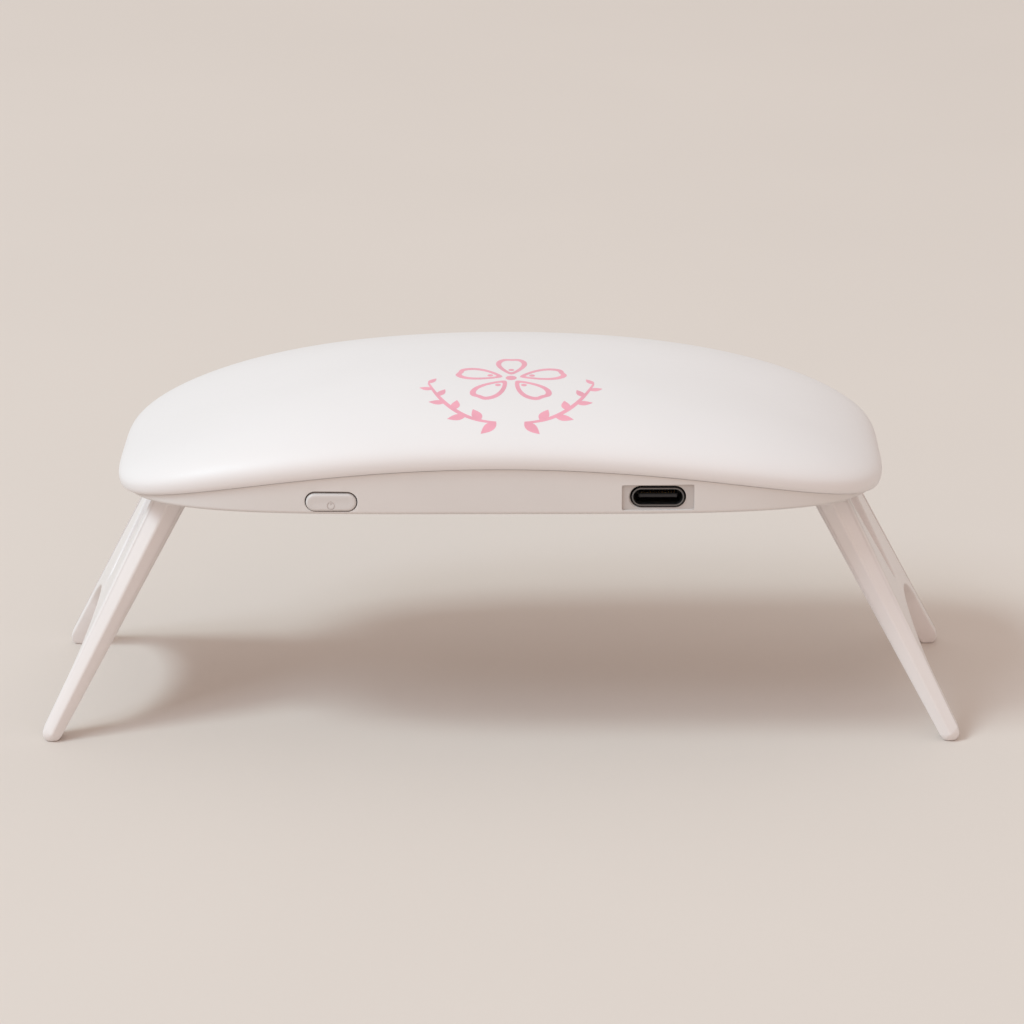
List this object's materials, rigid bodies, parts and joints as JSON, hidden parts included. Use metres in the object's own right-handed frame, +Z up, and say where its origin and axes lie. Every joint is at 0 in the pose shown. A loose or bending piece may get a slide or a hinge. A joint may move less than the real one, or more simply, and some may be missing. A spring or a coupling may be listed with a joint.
{
  "type": "folding nail lamp",
  "caption": "Small arched lamp for curing gel nails, with a domed cover, a side button, a charging port and two fold-out legs.",
  "frame": {"origin": "on the floor, midway between the feet, under the middle of the housing", "axes": "+X along the housing towards the charging port's end, +Y to the back, away from the side with the button and the port, +Z up"},
  "size_m": [0.1594, 0.0646, 0.0622],
  "materials": {
    "cover_white": "glossy white moulding",
    "casing_white": "glossy white moulding",
    "leg_white": "glossy white moulding",
    "button_white": "glossy white moulding",
    "window_clear": "clear",
    "reflector_silver": "metallised plastic",
    "board_green": "lacquered laminate",
    "diode_ivory": "moulded package",
    "diode_clear": "clear silicone lens",
    "port_steel": "nickel plated sheet",
    "port_black": "moulded",
    "contact_gold": "gold plated",
    "switch_black": "moulded",
    "switch_steel": "stamped sheet",
    "plunger_white": "moulded",
    "chip_black": "moulded",
    "resistor_black": "fired",
    "capacitor_tan": "fired",
    "pin_steel": "bright drawn",
    "screw_steel": "zinc plated"
  },
  "bodies": {
    "housing": {"top_cover": "cover_white", "lower_casing": "casing_white", "light_window": "window_clear", "reflector": "reflector_silver", "main_board": "board_green", "diode_bases": "diode_ivory", "diode_domes": "diode_clear", "port_shell": "port_steel", "port_base": "port_black", "port_tongue": "port_black", "port_contacts": "contact_gold", "switch_body": "switch_black", "switch_frame": "switch_steel", "timer_chip": "chip_black", "driver_transistors": "chip_black", "resistors": "resistor_black", "capacitors": "capacitor_tan", "left_hinge_pin": "pin_steel", "right_hinge_pin": "pin_steel", "case_screws": "screw_steel", "board_screws": "screw_steel"},
    "left_leg": {"left_leg": "leg_white"},
    "right_leg": {"right_leg": "leg_white"},
    "button": {"power_button": "button_white"},
    "plunger": {"switch_plunger": "plunger_white"}
  },
  "joints": [
    {"name": "right_leg_hinge", "type": "hinge", "parent": "housing", "child": "right_leg", "pos_m": [0.054, 0, 0.0467], "axis": [0, 1, 0], "range_deg": [0, 118]},
    {"name": "left_leg_hinge", "type": "hinge", "parent": "housing", "child": "left_leg", "pos_m": [-0.054, 0, 0.0467], "axis": [0, -1, 0], "range_deg": [0, 118]},
    {"name": "button_press", "type": "slide", "parent": "housing", "child": "button", "axis": [0, 1, 0], "range_m": [0, 0.0004], "stiffness_N_per_m": 1500},
    {"name": "plunger_press", "type": "slide", "parent": "housing", "child": "plunger", "axis": [0, 1, 0], "range_m": [0, 0.0004]}
  ],
  "couplings": [
    {"joint": "plunger_press", "follows": "button_press", "ratio": 1}
  ]
}
